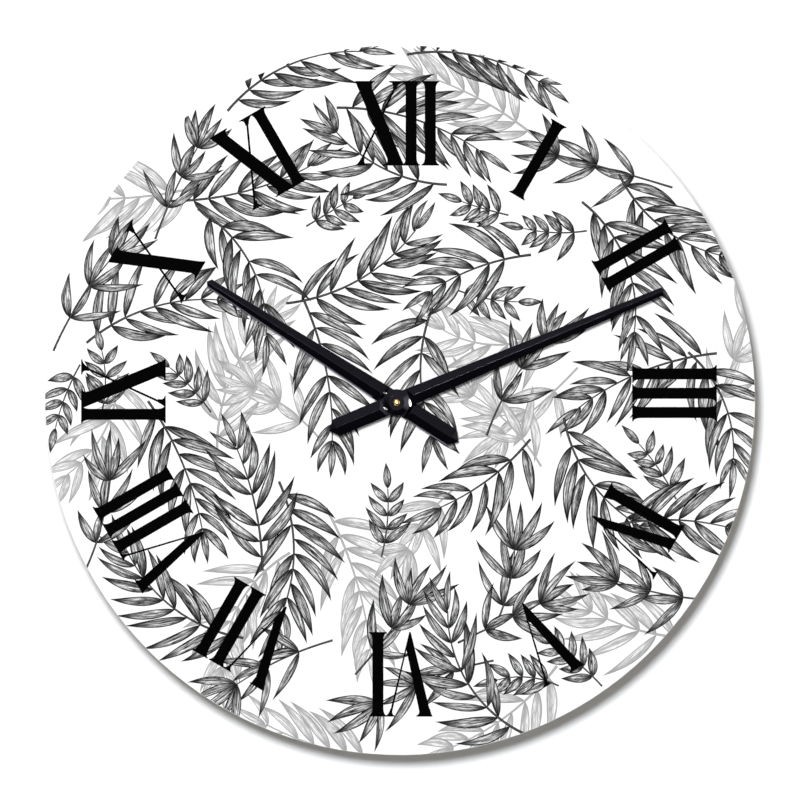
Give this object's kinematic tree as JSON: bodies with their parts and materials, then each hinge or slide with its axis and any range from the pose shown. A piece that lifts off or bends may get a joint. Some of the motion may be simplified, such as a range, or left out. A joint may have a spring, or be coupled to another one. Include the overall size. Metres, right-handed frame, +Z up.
{
  "type": "wall clock",
  "caption": "Round wall clock with Roman numerals on a printed white dial, black faceted hands and a battery quartz movement with a meshing gear train.",
  "frame": {"origin": "on the axis of the hands, in the plane where the movement's back meets the wall", "axes": "+Z up towards XII, +X right as seen by the viewer, the dial faces -Y"},
  "size_m": [0.4063, 0.0346, 0.4064],
  "materials": {
    "board": "raw fibreboard",
    "print": "satin print",
    "rubber": "matte",
    "brass": "turned",
    "zinc_steel": "zinc plated",
    "iron": "rolled",
    "case_black": "fine spark texture",
    "knob_black": "moulded",
    "frame_white": "moulded",
    "gear_white": "moulded",
    "gear_amber": "moulded",
    "copper_wire": "enamelled",
    "board_green": "solder mask",
    "resin_black": "cast resin",
    "magnet": "sintered",
    "cell_wrap": "gloss wrap",
    "hand_black": "gloss"
  },
  "bodies": {
    "clock": {"dial_panel": "board", "printed_face": "print", "rubber_gasket": "rubber", "dial_washer": "brass", "hex_nut": "brass", "threaded_bush": "brass", "hanger_bracket": "zinc_steel", "case_front": "case_black", "case_back": "case_black", "middle_plate": "frame_white", "stator": "iron", "coil_core": "iron", "coil_bobbin": "frame_white", "coil_winding": "copper_wire", "coil_screws": "zinc_steel", "circuit_board": "board_green", "chip_cover": "resin_black", "quartz_crystal": "zinc_steel", "contact_negative": "zinc_steel", "contact_positive": "zinc_steel", "contact_leads": "zinc_steel"},
    "minute": {"minute_arbor": "brass", "centre_wheel": "gear_amber", "minute_hand": "hand_black", "cap_nut": "brass"},
    "hour": {"hour_wheel": "brass", "hour_hand": "hand_black"},
    "minute_work": {"minute_wheel": "gear_white"},
    "setting": {"setting_knob": "knob_black"},
    "third": {"third_wheel": "gear_white"},
    "fourth": {"fourth_wheel": "gear_amber"},
    "fifth": {"fifth_wheel": "gear_white"},
    "rotor": {"rotor_magnet": "magnet", "rotor_pinion": "gear_amber"},
    "cell": {"battery": "cell_wrap"}
  },
  "joints": [
    {"name": "minute_hand_turn", "type": "hinge", "parent": "clock", "child": "minute", "pos_m": [0, -0.008, 0], "axis": [0, 1, 0], "continuous": true},
    {"name": "hour_hand_turn", "type": "hinge", "parent": "clock", "child": "hour", "pos_m": [0, -0.008, 0], "axis": [0, 1, 0], "continuous": true},
    {"name": "minute_wheel_turn", "type": "hinge", "parent": "clock", "child": "minute_work", "pos_m": [-0.00902, -0.008, -0.00328], "axis": [0, 1, 0], "continuous": true},
    {"name": "setting_knob_turn", "type": "hinge", "parent": "clock", "child": "setting", "pos_m": [-0.01862, -0.008, -0.00328], "axis": [0, 1, 0], "continuous": true},
    {"name": "third_wheel_turn", "type": "hinge", "parent": "clock", "child": "third", "pos_m": [-0.00953, -0.008, 0.0055], "axis": [0, 1, 0], "continuous": true},
    {"name": "fourth_wheel_turn", "type": "hinge", "parent": "clock", "child": "fourth", "pos_m": [0, -0.008, 0], "axis": [0, 1, 0], "continuous": true},
    {"name": "fifth_wheel_turn", "type": "hinge", "parent": "clock", "child": "fifth", "pos_m": [0.00944, -0.008, 0.00661], "axis": [0, 1, 0], "continuous": true},
    {"name": "rotor_turn", "type": "hinge", "parent": "clock", "child": "rotor", "pos_m": [0.0132, -0.008, 0.01451], "axis": [0, 1, 0], "continuous": true},
    {"name": "cell_slide", "type": "slide", "parent": "clock", "child": "cell", "axis": [0, 1, 0], "range_m": [0, 0.03]}
  ],
  "couplings": [
    {"joint": "hour_hand_turn", "follows": "minute_hand_turn", "ratio": 0.083333},
    {"joint": "minute_wheel_turn", "follows": "minute_hand_turn", "ratio": -0.33333},
    {"joint": "setting_knob_turn", "follows": "minute_hand_turn", "ratio": 1},
    {"joint": "third_wheel_turn", "follows": "minute_hand_turn", "ratio": -8},
    {"joint": "fourth_wheel_turn", "follows": "minute_hand_turn", "ratio": 60},
    {"joint": "fifth_wheel_turn", "follows": "minute_hand_turn", "ratio": -300},
    {"joint": "rotor_turn", "follows": "minute_hand_turn", "ratio": 1800}
  ]
}
